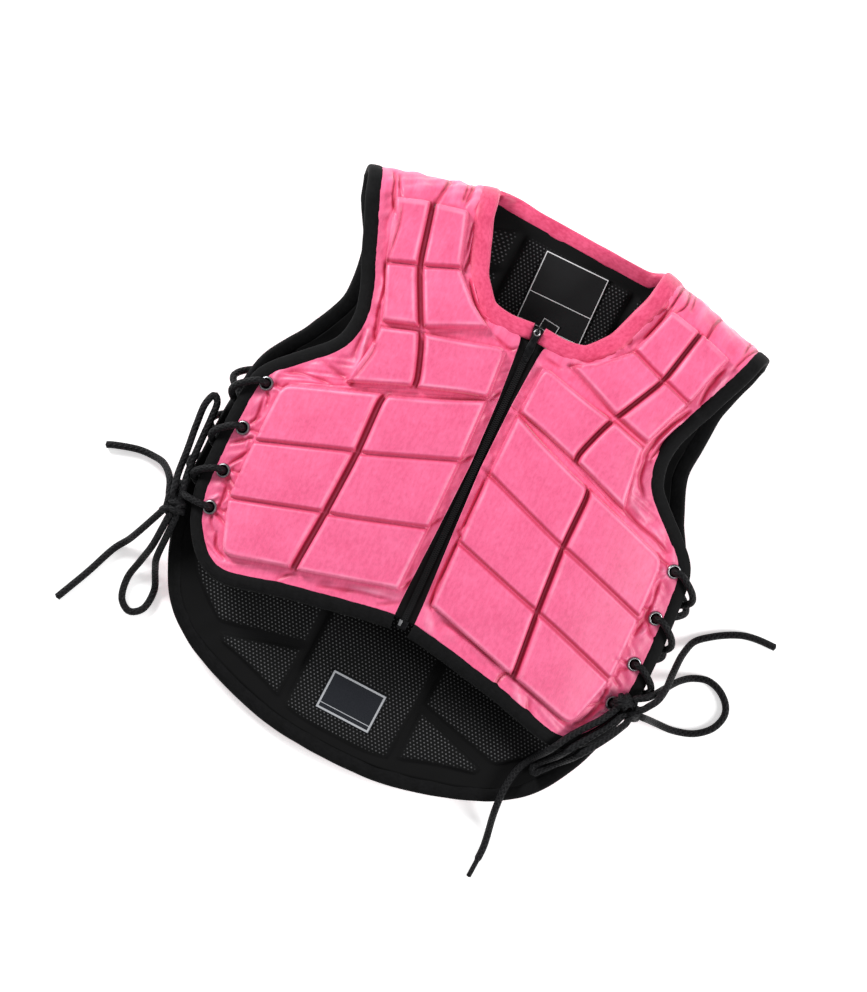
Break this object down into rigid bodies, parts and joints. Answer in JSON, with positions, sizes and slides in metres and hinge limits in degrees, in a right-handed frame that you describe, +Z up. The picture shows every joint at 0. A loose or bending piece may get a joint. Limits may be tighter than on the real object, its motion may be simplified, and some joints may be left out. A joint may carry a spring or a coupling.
{
  "type": "equestrian body protector",
  "caption": "Padded riding vest lying flat on its back, with foam tiles, a front zip and tied side laces.",
  "frame": {"origin": "middle of the vest's box, without its free laces, on the surface that it lies on", "axes": "+Y towards the neck, +X to the right as the vest is looked down on, +Z up"},
  "size_m": [0.5256, 0.4822, 0.0769],
  "materials": {
    "pink_satin": "satin weave over foam tiles",
    "pink_edging": "satin edging",
    "black_mesh": "knitted mesh",
    "black_edging": "woven tape",
    "zip_tape": "woven tape with moulded teeth",
    "label_cloth": "plain woven label",
    "black_lace": "braided cord",
    "dark_metal": "gunmetal"
  },
  "bodies": {
    "vest": {"panel_front_left": "pink_satin", "lining_front_left": "black_mesh", "binding_side_left": "black_edging", "binding_hem_left": "black_edging", "facing_front_left": "pink_edging", "zip_tape_left": "zip_tape", "panel_front_right": "pink_satin", "lining_front_right": "black_mesh", "binding_side_right": "black_edging", "binding_hem_right": "black_edging", "facing_front_right": "pink_edging", "zip_tape_right": "zip_tape", "zip_chain": "zip_tape", "zip_slider": "dark_metal", "zip_box": "dark_metal", "panel_back": "pink_satin", "lining_back": "black_mesh", "binding_armhole_left": "black_edging", "binding_armhole_right": "black_edging", "binding_tail": "black_edging", "facing_back": "pink_edging", "eyelet_front_left_1": "dark_metal", "eyelet_front_left_2": "dark_metal", "eyelet_front_left_3": "dark_metal", "eyelet_front_left_4": "dark_metal", "eyelet_back_left_1": "dark_metal", "eyelet_back_left_2": "dark_metal", "eyelet_back_left_3": "dark_metal", "eyelet_back_left_4": "dark_metal", "eyelet_front_right_1": "dark_metal", "eyelet_front_right_2": "dark_metal", "eyelet_front_right_3": "dark_metal", "eyelet_front_right_4": "dark_metal", "eyelet_back_right_1": "dark_metal", "eyelet_back_right_2": "dark_metal", "eyelet_back_right_3": "dark_metal", "eyelet_back_right_4": "dark_metal", "label_neck": "label_cloth", "label_tail": "label_cloth", "lacing_left": "black_lace", "lacing_right": "black_lace", "bow_left_up": "black_lace", "bow_left_down": "black_lace", "bow_right_out": "black_lace", "bow_right_down": "black_lace", "end_left_up": "black_lace", "end_left_down": "black_lace", "end_right_up": "black_lace", "end_right_down": "black_lace"},
    "pull": {"zip_pull": "dark_metal"}
  },
  "joints": [
    {"name": "pull_swing", "type": "hinge", "parent": "vest", "child": "pull", "pos_m": [0.00496, 0.13598, 0.07181], "axis": [-1, 0, 0], "range_deg": [0, 165]}
  ]
}
